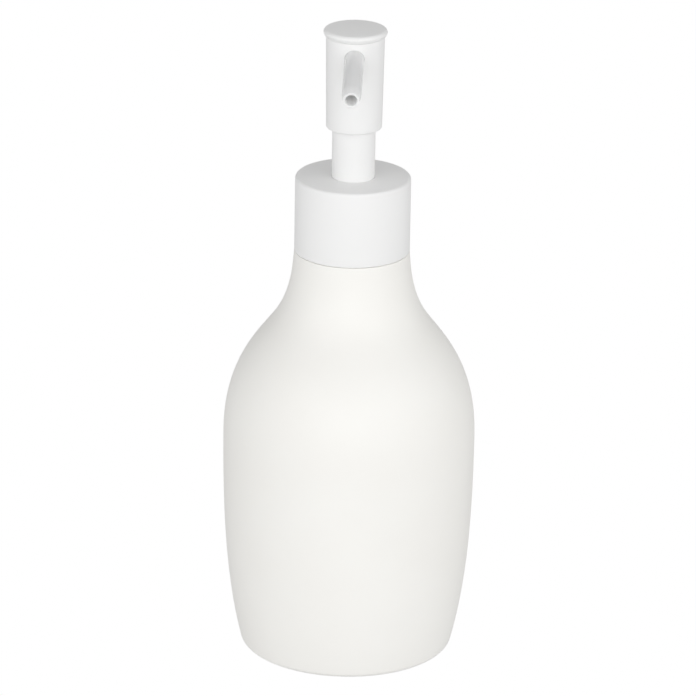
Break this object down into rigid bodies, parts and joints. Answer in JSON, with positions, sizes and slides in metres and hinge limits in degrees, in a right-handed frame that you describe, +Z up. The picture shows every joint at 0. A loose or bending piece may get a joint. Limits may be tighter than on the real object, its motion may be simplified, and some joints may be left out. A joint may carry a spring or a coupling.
{
  "type": "soap pump dispenser",
  "caption": "Round-shouldered bottle with a screw-on pump. Pressing the flat-capped head drives a piston that draws soap up a dip tube and out of a long thin spout.",
  "frame": {"origin": "on the pump's axis, level with the ring that the bottle stands on", "axes": "+Z up along the pump's axis, -Y along the spout, +X to the right of someone facing the spout"},
  "size_m": [0.075, 0.0767, 0.1926],
  "materials": {
    "bottle_white": "satin moulded, warm white",
    "pump_white": "smooth moulded, neutral white",
    "natural_plastic": "milky, unpigmented",
    "seal_plastic": "soft, slightly waxy",
    "gasket_foam": "closed-cell foam",
    "tube_plastic": "milky, bendable",
    "steel": "drawn stainless"
  },
  "bodies": {
    "bottle": {"bottle": "bottle_white"},
    "pump_core": {"pump_housing": "natural_plastic", "lock_ring": "pump_white", "stem_wiper": "seal_plastic", "ball_retainer": "natural_plastic", "return_spring": "steel", "dip_tube": "tube_plastic", "neck_gasket": "gasket_foam"},
    "collar": {"collar_shell": "pump_white", "threaded_closure": "pump_white"},
    "inlet_valve": {"inlet_ball": "steel"},
    "plunger": {"piston_stem": "natural_plastic", "valve_plug": "natural_plastic"},
    "piston": {"piston": "seal_plastic"},
    "head": {"head_cap": "pump_white", "head_shell": "pump_white", "actuator_core": "natural_plastic", "stem_sleeve": "pump_white", "spout": "pump_white"}
  },
  "joints": [
    {"name": "pump_rise", "type": "slide", "parent": "bottle", "child": "pump_core", "axis": [0, 0, 1], "range_m": [0, 0.00634]},
    {"name": "collar_turn", "type": "hinge", "parent": "pump_core", "child": "collar", "pos_m": [0, 0, 0.1361], "axis": [0, 0, 1], "range_deg": [0, 540]},
    {"name": "ball_lift", "type": "slide", "parent": "pump_core", "child": "inlet_valve", "axis": [0, 0, 1], "range_m": [0, 0.0015]},
    {"name": "head_press", "type": "slide", "parent": "pump_core", "child": "plunger", "axis": [0, 0, -1], "range_m": [0, 0.014], "stiffness_N_per_m": 500, "springref_m": -0.012, "deforming": ["return_spring"]},
    {"name": "piston_slip", "type": "slide", "parent": "plunger", "child": "piston", "axis": [0, 0, 1], "range_m": [0, 0.0012]},
    {"name": "head_turn", "type": "hinge", "parent": "plunger", "child": "head", "pos_m": [0, 0, 0.1769], "axis": [0, 0, 1], "continuous": true}
  ],
  "couplings": [
    {"joint": "collar_turn", "follows": "pump_rise", "rad_per_m": 1485.4}
  ]
}
